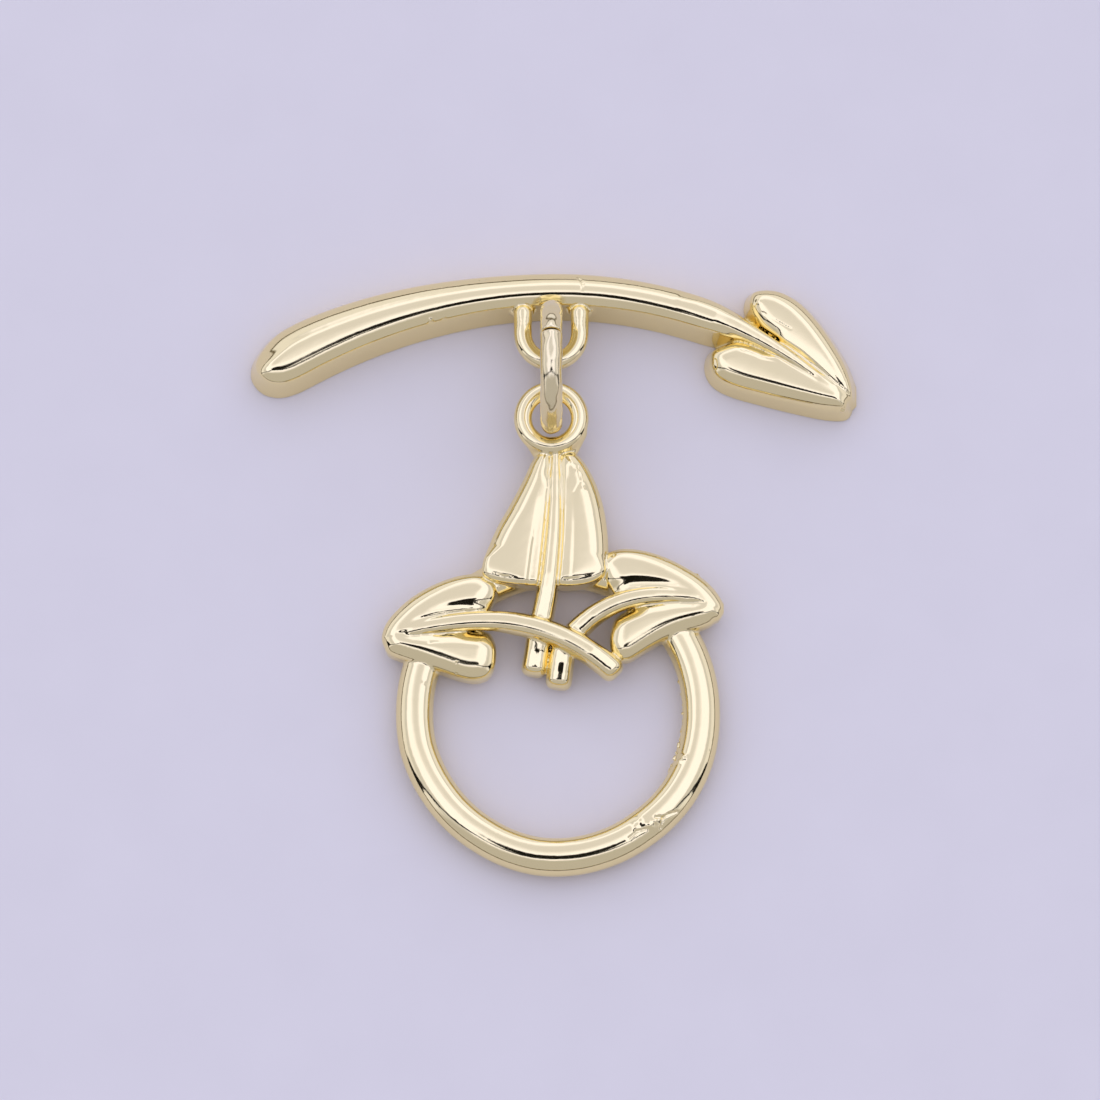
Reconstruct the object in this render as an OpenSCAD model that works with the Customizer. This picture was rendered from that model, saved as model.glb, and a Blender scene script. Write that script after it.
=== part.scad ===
// Toggle clasp: a ring hung from three crossed leaf stems, an arched bar that ends in a leaf,
// and a jump ring that links their eyes. It lies flat on its back, and the jump ring stands on edge.

/* [Toggle ring] */
// Outside width of the ring that the bar passes through
ring_width = 14.55; // [13.8:0.05:15.3]
// Outside length of the ring, which is slightly oval
ring_length = 15.1; // [14.4:0.05:15.6]
// Thickness of the ring's round wire
ring_wire = 1.6; // [1.3:0.05:1.8]
// Distance from the ring's centre up to the centre of its eye
ring_to_eye = 13.43; // [13.2:0.01:13.9]

/* [Toggle bar] */
// Length of the arched bar from its eye to its rounded end, along the arch
bar_arm = 14.3; // [12:0.05:18]
// Length from the eye to the tip of the bar's leaf, along the arch
bar_leaf_arm = 14.9; // [13:0.1:17]
// Radius of the arch on the rounded end's side
bar_arm_radius = 27.5; // [22:0.5:40]
// Radius of the arch on the leaf's side
bar_leaf_radius = 20; // [17:0.5:30]
// Width of the bar at its eye
bar_waist = 2.15; // [1.8:0.05:2.5]
// Width of the bar near its rounded end
bar_end = 2.9; // [2.4:0.05:3.4]
// Height of the bar above its flat back
bar_height = 2.6; // [2.2:0.05:2.9]

/* [Leaves] */
// Length of the leaf on the bar
bar_leaf_length = 7.4; // [6.4:0.1:8]
// Width of the leaf on the bar, from its midrib to its wider edge
bar_leaf_width = 2.73; // [2.3:0.05:3.1]
// Length of the leaf under the ring's eye
top_leaf_length = 6.4; // [5.8:0.1:6.8]
// Width of the leaf under the ring's eye, from its midrib to its wider edge
top_leaf_width = 2.85; // [2.6:0.05:3.1]
// Length of the leaf on the left of the ring
left_leaf_length = 5.15; // [4.6:0.05:5.6]
// Width of the leaf on the left of the ring, from its midrib to its wider edge
left_leaf_width = 2.55; // [2.2:0.05:2.9]
// Length of the leaf on the right of the ring
right_leaf_length = 5.75; // [5.2:0.05:6.2]
// Width of the leaf on the right of the ring, from its midrib to its wider edge
right_leaf_width = 2.77; // [2.4:0.05:3.1]
// How far the left leaf's tip lies outside the middle of the ring's wire
left_leaf_reach = 1.88; // [1.5:0.02:2.2]
// How far the right leaf's tip lies outside the middle of the ring's wire
right_leaf_reach = 1.98; // [1.7:0.02:2.2]
// Height of the leaves above their flat back
leaf_height = 2.6; // [2.3:0.05:2.9]
// Height of the walls round the leaves and the bar, below their domed tops
wall_height = 1.85; // [1.5:0.05:2]
// Lean of the cast walls, which narrow towards the top
draft = 12; // [4:1:16]

/* [Stems] */
// Widest thickness of a leaf's stem
stem_width = 1.0; // [0.8:0.05:1.15]
// Depth of a leaf's stem, from top to bottom
stem_depth = 1.3; // [1.1:0.05:1.5]

/* [Eyes and jump ring] */
// Hole through each eye
eye_hole = 1.78; // [1.7:0.02:2]
// Thickness of an eye's wire
eye_wire = 0.8; // [0.7:0.02:0.86]
// Height of the eyes' wire above the flat back
eye_level = 1.8; // [1.75:0.01:1.9]
// Outside diameter of the jump ring
jump_od = 6.1; // [6:0.05:6.6]
// Thickness of the jump ring's wire
jump_wire = 1.0; // [0.9:0.02:1.04]
// Width of the jump ring's cut seam
jump_seam = 0.08; // [0.04:0.01:0.2]
// Gap between the jump ring and the side of the bar
bar_gap = 0.4; // [0.3:0.01:0.5]
// How far the ring's eye is drawn in past the jump ring's wire
ring_eye_slack = 0.11; // [0.08:0.01:0.14]
// How far the bar's eye is drawn in past the jump ring's wire
bar_eye_slack = 0.41; // [0.36:0.01:0.6]

/* [Hidden] */
gold = "#e6d49a";

// Facets round the big ring, the eyes and their wires
ring_facets = 80;
eye_facets = 36;
wire_facets = 16;
// Slices cut between two rows of a stem's table, and how thick each slice is
stem_steps = 3;
slice = 0.05;

// Mean radii of the wires
ring_radius = (ring_width - ring_wire) / 2;
ring_stretch = (ring_length - ring_wire) / (ring_width - ring_wire);
jump_radius = (jump_od - jump_wire) / 2;
eye_radius = (eye_hole + eye_wire) / 2;

// Places are measured from the ring's centre until centred() moves them. The eyes and the jump ring
// stand a little to its left.
link_side = -0.3;
// The ring's eye and the jump ring's wire where it passes the level of the eyes
ring_eye = [link_side, ring_to_eye];
jump_pass = sqrt(pow(jump_radius, 2) - pow(jump_od / 2 - eye_level, 2));
jump_centre = [link_side, ring_eye.y + jump_pass - ring_eye_slack, jump_od / 2];
bar_eye = [link_side, jump_centre.y + jump_pass - bar_eye_slack];
// The bar clears the outside of the jump ring at the top of its wall
jump_outside = sqrt(pow(jump_od / 2, 2) - pow(jump_od / 2 - wall_height, 2));
bar_crest = [0, jump_centre.y + jump_outside + bar_gap + bar_waist / 2 - wall_height * tan(draft)];
// Where the jump ring was cut, as an angle from its top
seam_angle = 23;

// A place is [x, y, heading]; this is the one after walking a length while turning left
function walk(place, length, turn) =
    abs(turn) < 0.001
        ? [place.x + length * cos(place.z), place.y + length * sin(place.z), place.z]
        : let (r = length / (turn * PI / 180), a = place.z)
          [place.x + r * (sin(a + turn) - sin(a)), place.y - r * (cos(a + turn) - cos(a)), a + turn];

// Place at a distance back from a spine's tip; a spine is a place and rows of [length, left turn]
function back_along(place, bends, s, row = 0) =
    s <= bends[row][0] || row == len(bends) - 1
        ? walk(place, s, bends[row][1] * s / bends[row][0])
        : back_along(walk(place, bends[row][0], bends[row][1]), bends, s - bends[row][0], row + 1);

// Point beside a spine, given as [back from the tip, out to the left]
function beside(spine, spot) =
    let (place = back_along(spine[0], spine[1], spot[0]))
    [place.x - spot[1] * sin(place.z), place.y + spot[1] * cos(place.z)];

// Turn in degrees over an arc of a length and radius
function bend(length, radius) = length / radius * 180 / PI;

// Spines of the bar and the three leaves, from the leaf's tip to the far end
bar_spine = [
    walk([bar_crest.x, bar_crest.y, 180], -bar_leaf_arm, -bend(bar_leaf_arm, bar_leaf_radius)),
    [[bar_leaf_arm, bend(bar_leaf_arm, bar_leaf_radius)], [bar_arm, bend(bar_arm, bar_arm_radius)]]
];
left_reach = ring_radius + left_leaf_reach;
left_spine = [
    [left_reach * cos(157.5), left_reach * sin(157.5), 20.5],
    [[4.66, -20.5], [6.2, -43.3]]
];
right_reach = ring_radius + right_leaf_reach;
right_spine = [
    [right_reach * cos(32.8), right_reach * sin(32.8), 154.5],
    [[2.4, 25.5], [4.4, 43.5], [1.34, 38.5], [1.3, 0]]
];
top_spine = [[-0.11, ring_eye.y - 1.21, 268.3], [[10.45, -7.3]]];

// Lobes: [share of the leaf's length back from its tip, share of its width out from the midrib],
// down the outer edge, round the end and back to the midrib
bar_leaf_outer_lobe = [
    [0.02, -0.02], [0.09, 0.16], [0.2, 0.36], [0.33, 0.53], [0.49, 0.74], [0.63, 0.9],
    [0.74, 0.96], [0.84, 0.9], [0.91, 0.77], [0.94, 0.56], [0.9, 0.3], [0.7, -0.04], [0.1, -0.04]
];
bar_leaf_inner_lobe = [
    [0, 0.12], [0.02, 0.3], [0.14, 0.5], [0.26, 0.65], [0.39, 0.78], [0.53, 0.88], [0.68, 0.97],
    [0.82, 1], [0.92, 0.93], [0.98, 0.74], [1, 0.52], [0.96, 0.34], [0.8, -0.04], [0.1, -0.04]
];
left_leaf_upper_lobe = [
    [0, 0.08], [0.02, 0.26], [0.08, 0.46], [0.18, 0.63], [0.34, 0.8], [0.58, 0.95], [0.78, 1.01],
    [0.9, 0.97], [0.97, 0.84], [0.98, 0.62], [0.95, 0.42], [0.86, -0.04], [0.1, -0.04]
];
left_leaf_lower_lobe = [
    [0, 0.08], [0.03, 0.2], [0.14, 0.37], [0.3, 0.57], [0.46, 0.74], [0.6, 0.88], [0.74, 0.96],
    [0.88, 0.94], [0.98, 0.78], [1, 0.5], [0.98, 0.24], [0.9, -0.04], [0.1, -0.04]
];
right_leaf_upper_lobe = [
    [-0.02, 0.02], [0, 0.2], [0.09, 0.38], [0.19, 0.52], [0.32, 0.67], [0.46, 0.83], [0.58, 0.95],
    [0.69, 1.02], [0.77, 0.95], [0.79, 0.8], [0.79, 0.5], [0.77, 0.2], [0.7, -0.04], [0.1, -0.04]
];
right_leaf_lower_lobe = [
    [-0.02, 0.02], [0, 0.22], [0.08, 0.35], [0.24, 0.47], [0.42, 0.59], [0.58, 0.7], [0.74, 0.78],
    [0.88, 0.81], [0.98, 0.73], [1.01, 0.58], [0.98, 0.4], [0.9, 0.2], [0.8, -0.04], [0.1, -0.04]
];
top_leaf_left_lobe = [
    [0, 0.27], [0.08, 0.4], [0.2, 0.5], [0.34, 0.64], [0.48, 0.78], [0.6, 0.89], [0.74, 0.97],
    [0.88, 1.01], [0.96, 0.97], [1, 0.82], [1.01, 0.5], [1, 0.1], [0.95, -0.04], [0.02, -0.04]
];
top_leaf_right_lobe = [
    [0, 0.28], [0.07, 0.4], [0.16, 0.52], [0.27, 0.63], [0.4, 0.73], [0.53, 0.8], [0.68, 0.85],
    [0.84, 0.87], [0.9, 0.8], [0.95, 0.63], [0.98, 0.37], [0.98, 0.1], [0.94, -0.04], [0.02, -0.04]
];
// The bar's own outline: [share of the arm from the waist to the end, half width as a share of the
// way from the waist's to the end's]
arm_swell = [[0, 0], [0.16, 0.02], [0.32, 0.25], [0.48, 0.55], [0.65, 0.8], [0.8, 1], [0.9, 1.02]];
// Its rounded end: [share of the arm, share of the end's half width]
arm_cap = [[0.94, 1], [0.97, 0.9], [0.99, 0.7], [1, 0.4]];
// Where it narrows to the leaf's midrib: [share of the leaf's length from its tip, half width as a
// share of the waist's]
rib_taper = [[1.15, 1], [0.98, 0.98], [0.9, 0.8], [0.8, 0.5], [0.75, 0.3]];

// Stems: [distance back from the leaf's tip, width, top] as shares of the leaf's length, of
// stem_width and of leaf_height; the last rows run on past the leaf to the stem's end
bar_stem = [[0.08, 0.2, 0.88], [0.18, 0.4, 0.97], [0.4, 0.6, 1], [0.7, 0.85, 1], [1, 1, 0.99],
    [1.2, 1, 0.95]];
left_stem = [[0.05, 0.3, 0.9], [0.2, 0.55, 0.98], [0.5, 0.7, 1], [0.95, 0.85, 1], [1.15, 1, 1], [1.6, 1, 1],
    [1.85, 1, 0.96], [2.04, 1, 0.84], [2.12, 0.9, 0.76], [2.15, 0.5, 0.7]];
right_stem = [[0.05, 0.3, 0.9], [0.2, 0.55, 0.98], [0.5, 0.75, 1], [0.8, 0.9, 1], [1, 0.95, 0.9],
    [1.13, 1, 0.74], [1.27, 1, 0.58], [1.42, 1, 0.54], [1.57, 0.95, 0.53], [1.6, 0.6, 0.52]];
top_stem = [[0.06, 0.4, 0.9], [0.25, 0.65, 1], [0.6, 0.8, 1], [0.97, 0.85, 1], [1.12, 0.9, 0.88],
    [1.25, 0.95, 0.66], [1.4, 1, 0.56], [1.55, 1, 0.54], [1.57, 0.95, 0.53], [1.6, 0.6, 0.52]];
// Section of a stem: [share of half the width, share of the depth from the bottom]
stem_section = [[-0.75, 0], [-1, 0.2], [-0.86, 0.65], [-0.6, 0.92], [-0.25, 1],
    [0.25, 1], [0.6, 0.92], [0.86, 0.65], [1, 0.2], [0.75, 0]];

// Dome over a wall: [share of the way in to the crest line, share of the rise]
dome = [[0, 0], [0.18, 0.45], [0.42, 0.8], [0.75, 1]];

// Corners of an outline cut once, which rounds it
function soften(pts) =
    [for (i = [0:len(pts) - 1])
        let (p = pts[i], q = pts[(i + 1) % len(pts)])
        each [p * 0.75 + q * 0.25, p * 0.25 + q * 0.75]];
function backwards(pts) = [for (i = [len(pts) - 1:-1:0]) pts[i]];

// A lobe's table as an outline in millimetres, [back, out] along its spine
function lobe_outline(table, length, width, side) =
    [for (row = soften(table)) [row[0] * length, row[1] * width * side]];

// The bar's outline, from its leaf round the far end and back
bar_edge = [
    for (row = backwards(rib_taper)) [row[0] * bar_leaf_length, row[1] * bar_waist / 2],
    for (row = arm_swell) [bar_leaf_arm + row[0] * bar_arm, (bar_waist + row[1] * (bar_end - bar_waist)) / 2],
    for (row = arm_cap) [bar_leaf_arm + row[0] * bar_arm, row[1] * bar_end / 2]
];
bar_outline = soften(concat([for (p = bar_edge) [p[0], -p[1]]], backwards(bar_edge)));

// Middle of the whole clasp seen from above, which is the model's origin
bar_rim = [for (p = concat(
        bar_outline,
        lobe_outline(bar_leaf_inner_lobe, bar_leaf_length, bar_leaf_width, 1),
        lobe_outline(bar_leaf_outer_lobe, bar_leaf_length, bar_leaf_width, -1)
    )) beside(bar_spine, p)];
middle = [
    (min([for (p = bar_rim) p.x]) + max([for (p = bar_rim) p.x])) / 2,
    (max([for (p = bar_rim) p.y]) - ring_length / 2) / 2
];

// Nearest point to p on the crest line from a to b
function onto(p, a, b) = a + (b - a) * max(0, min(1, (p - a) * (b - a) / ((b - a) * (b - a))));

// Point of an outline moved in by a length, then by a share of the rest of the way to the crest line
function inward(p, crest, inset, share) =
    let (core = onto(p, crest[0], crest[1]), edge = p + (core - p) * min(inset / norm(core - p), 0.6))
    edge + (core - edge) * share;

// Moves a piece so that the clasp's middle is over the origin
module centred() {
    translate([-middle.x, -middle.y, 0])
        children();
}

// Closed solid through rings of points that all have the same count
module skin(rings) {
    count = len(rings[0]);
    last = (len(rings) - 1) * count;
    polyhedron(
        points = [for (ring = rings) each ring],
        faces = [
            [for (j = [0:count - 1]) j],
            [for (j = [count - 1:-1:0]) last + j],
            for (i = [0:len(rings) - 2], j = [0:count - 1])
                let (a = i * count + j, b = i * count + (j + 1) % count)
                each [[a, a + count, b + count], [a, b + count, b]]
        ]
    );
}

// Solid with a flat back, leaning walls and a domed top, on an outline beside a spine
module cushion(spine, outline, crest, height) {
    rise = height - wall_height;
    levels = [[0, 0, 0], for (row = dome) [wall_height * tan(draft), row[0], wall_height + rise * row[1]]];
    skin([for (level = levels) [for (p = outline)
        concat(beside(spine, inward(p, crest, level[0], level[1])), level[2])]]);
}

// Half of a leaf; side is 1 to the left of the way from tip to stem, -1 to the right
module lobe(spine, table, length, width, side) {
    outline = lobe_outline(table, length, width, side);
    crest = [[0.25 * length, 0.18 * width * side], [0.78 * length, 0.52 * width * side]];
    cushion(spine, side > 0 ? backwards(outline) : outline, crest, leaf_height);
}

// Row of a table at a fraction past row i, on a straight run between rows
function between_rows(rows, i, part) = rows[i] * (1 - part) + rows[min(i + 1, len(rows) - 1)] * part;

// Thin slice of a stem, across its spine
module stem_slice(spine, row, length) {
    place = back_along(spine[0], spine[1], row[0] * length);
    half = row[1] * stem_width / 2;
    foot = row[2] * leaf_height - stem_depth;
    translate([place.x, place.y, 0])
        rotate([90, 0, place.z + 90])
            linear_extrude(slice, center = true)
                polygon([for (corner = stem_section) [corner[0] * half, foot + corner[1] * stem_depth]]);
}

// Midrib and stem along a leaf's spine, as a chain of hulls between slices
module stem(spine, table, length) {
    rows = [
        for (i = [0:len(table) - 2], k = [0:stem_steps - 1]) between_rows(table, i, k / stem_steps),
        table[len(table) - 1]
    ];
    for (i = [0:len(rows) - 2])
        hull() {
            stem_slice(spine, rows[i], length);
            stem_slice(spine, rows[i + 1], length);
        }
}

// Round wire bent to a ring or an arc, flat in the XY plane
module wire_ring(radius, wire, sweep = 360) {
    rotate_extrude(angle = sweep)
        translate([radius, 0])
            circle(d = wire, $fn = wire_facets);
}

// The casting with the ring, its eye and the three crossed leaves
module toggle_ring() {
    color(gold) centred() {
        translate([0, 0, ring_wire / 2])
            scale([1, ring_stretch, 1])
                wire_ring(ring_radius, ring_wire, $fn = ring_facets);
        translate([ring_eye.x, ring_eye.y, eye_level])
            wire_ring(eye_radius, eye_wire, $fn = eye_facets);
        lobe(left_spine, left_leaf_upper_lobe, left_leaf_length, left_leaf_width, 1);
        lobe(left_spine, left_leaf_lower_lobe, left_leaf_length, left_leaf_width, -1);
        stem(left_spine, left_stem, left_leaf_length);
        lobe(right_spine, right_leaf_upper_lobe, right_leaf_length, right_leaf_width, -1);
        lobe(right_spine, right_leaf_lower_lobe, right_leaf_length, right_leaf_width, 1);
        stem(right_spine, right_stem, right_leaf_length);
        lobe(top_spine, top_leaf_right_lobe, top_leaf_length, top_leaf_width, 1);
        lobe(top_spine, top_leaf_left_lobe, top_leaf_length, top_leaf_width, -1);
        stem(top_spine, top_stem, top_leaf_length);
    }
}

// The casting with the arched bar, its leaf and its eye
module toggle_bar() {
    crest = [[0.9 * bar_leaf_length, 0], [bar_leaf_arm + 0.93 * bar_arm, 0]];
    color(gold) centred() {
        cushion(bar_spine, bar_outline, crest, bar_height);
        lobe(bar_spine, bar_leaf_inner_lobe, bar_leaf_length, bar_leaf_width, 1);
        lobe(bar_spine, bar_leaf_outer_lobe, bar_leaf_length, bar_leaf_width, -1);
        stem(bar_spine, bar_stem, bar_leaf_length);
        translate([bar_eye.x, bar_eye.y, eye_level]) {
            rotate(180)
                wire_ring(eye_radius, eye_wire, 180, $fn = eye_facets);
            for (side = [-1, 1])
                translate([side * eye_radius, 0, 0])
                    rotate([-90, 0, 0])
                        cylinder(d = eye_wire, h = bar_crest.y - bar_eye.y, $fn = wire_facets);
        }
    }
}

// The jump ring, standing on edge through both eyes, with its cut seam
module jump_ring() {
    seam = jump_seam / jump_radius * 180 / PI;
    color(gold) centred()
        translate(jump_centre)
            rotate([0, -90, 0])
                rotate(seam_angle + seam / 2)
                    wire_ring(jump_radius, jump_wire, 360 - seam, $fn = ring_facets);
}

toggle_ring();
toggle_bar();
jump_ring();
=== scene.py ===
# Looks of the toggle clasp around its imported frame. Shapes are worked out in millimetres, and the
# finished meshes are in metres.
import math
import random
import bpy
import numpy as np
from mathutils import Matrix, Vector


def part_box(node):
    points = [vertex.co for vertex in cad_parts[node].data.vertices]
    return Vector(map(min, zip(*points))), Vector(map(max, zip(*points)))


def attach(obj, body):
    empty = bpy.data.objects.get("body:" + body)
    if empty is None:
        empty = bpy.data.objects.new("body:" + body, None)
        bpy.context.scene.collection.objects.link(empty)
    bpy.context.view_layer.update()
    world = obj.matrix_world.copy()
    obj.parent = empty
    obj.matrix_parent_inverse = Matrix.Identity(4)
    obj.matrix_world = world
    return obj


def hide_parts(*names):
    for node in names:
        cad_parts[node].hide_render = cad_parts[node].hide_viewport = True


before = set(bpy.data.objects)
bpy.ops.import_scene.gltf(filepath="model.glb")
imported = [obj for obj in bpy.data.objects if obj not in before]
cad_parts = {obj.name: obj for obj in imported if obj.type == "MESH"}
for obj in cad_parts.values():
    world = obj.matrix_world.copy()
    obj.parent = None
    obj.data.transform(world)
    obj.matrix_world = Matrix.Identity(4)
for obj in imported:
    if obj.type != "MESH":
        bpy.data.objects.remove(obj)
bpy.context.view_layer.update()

import openvdb
from mathutils import Vector, noise

mm = 0.001
view = {
    "elevation": 78.0,              # degrees above the table, from the ring's side
    "frameWidth": 50.0,             # millimetres of table across the picture
    "distance": 620.0,
    "centre": (-0.0507, 1.2255, 0.0),
    "sensor": 36.0,
    "clip": (0.01, 20),             # metres
}
castStep = 0.055     # grid step of the castings, mm
# stems and folds were drawn as seen at one height, and shift by the camera's lean when they lie lower
casting = {"drawnAt": 2.45, "lookBack": 0.2126, "mostTriangles": 190000, "leafBlur": 0.12, "barBlur": 0.25}
floorZ, roofZ = -1, 4       # every window into the grid reaches from under the table to over the castings, mm

# where the CAD's origin lies, seen from the ring's centre
middle = (-0.309266, 6.47454)
hoop = {
    "crestRadius": 6.37, "stretch": 1.0314, "outer": 0.97, "inner": 0.73, "height": 1.66, "power": 2.05,
    # how far the ring strays from true: [degrees round from the right, outwards in mm]
    "stray": [[0, 0], [180, 0], [195, 0.03], [215, -0.03], [240, -0.05], [262, 0], [285, -0.04], [305, -0.05],
              [325, 0.03], [340, 0.05], [360, 0]],
}
ringEye = (-0.3, 13.43)
jump = {
    "centre": (0.009266, 9.067862, 3.05), "radius": 2.55, "wire": 1.0, "seamAngle": 23.0, "seam": 0.08,
    "dent": 0.035, "dentEvery": 1.3, "around": 220, "section": 40,
    # the cut ends are a little rounded: (steps of tipTurn degrees in from the cut, share of the wire)
    "tips": [(0.0, 0.82), (0.25, 0.93), (0.6, 0.985)], "tipTurn": 1.1,
}
barEye = (-0.3, 17.355)
barCrest = (0.0, 19.4287)
eye = {"radius": 1.29, "wire": 0.82, "level": 1.8, "arm": 1.0, "dip": 0.2}


def camera():
    up = math.radians(view["elevation"])
    centre = Vector(view["centre"]) * mm
    back = Vector((0, -math.cos(up), math.sin(up)))
    data = bpy.data.cameras.new("photoCamera")
    data.sensor_width = view["sensor"]
    data.lens = view["sensor"] * view["distance"] / view["frameWidth"]
    data.clip_start, data.clip_end = view["clip"]
    camera = bpy.data.objects.new("photoCamera", data)
    bpy.context.scene.collection.objects.link(camera)
    camera.location = centre + back * view["distance"] * mm
    camera.rotation_euler = back.to_track_quat("Z", "Y").to_euler()
    bpy.context.scene.camera = camera


# Spines: a place [x, y, heading] and rows of [length, left turn]
def walk(place, length, turn):
    x, y, heading = place
    a, b = math.radians(heading), math.radians(heading + turn)
    if abs(turn) < 0.001:
        return x + length * math.cos(a), y + length * math.sin(a), heading
    r = length / math.radians(turn)
    return x + r * (math.sin(b) - math.sin(a)), y - r * (math.cos(b) - math.cos(a)), heading + turn


def backAlong(spine, back):
    place, bends = spine
    for length, turn in bends[:-1]:
        if back <= length:
            return walk(place, back, turn * back / length)
        place = walk(place, length, turn)
        back -= length
    length, turn = bends[-1]
    return walk(place, back, turn * back / length)


def polar(radius, angle, heading):
    return radius * math.cos(math.radians(angle)), radius * math.sin(math.radians(angle)), heading


def bend(length, radius):
    return math.degrees(length / radius)


barBends = ((14.9, 20), (14.3, 27.5))       # length and radius of the bar's right and left halves, mm
barSpine = [
    walk((*barCrest, 180), -barBends[0][0], -bend(*barBends[0])),
    [[length, bend(length, radius)] for length, radius in barBends],
]
leftSpine = [polar(8.504, 158.4, 20.5), [[4.86, -20.5], [6.2, -43.3]]]
rightSpine = [polar(8.561, 31.66, 154.5), [[2.6, 25.5], [4.4, 43.5], [1.34, 38.5], [1.3, 0]]]
topSpine = [(-0.11, 12.22, 268.3), [[10.45, -7.3]]]

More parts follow.
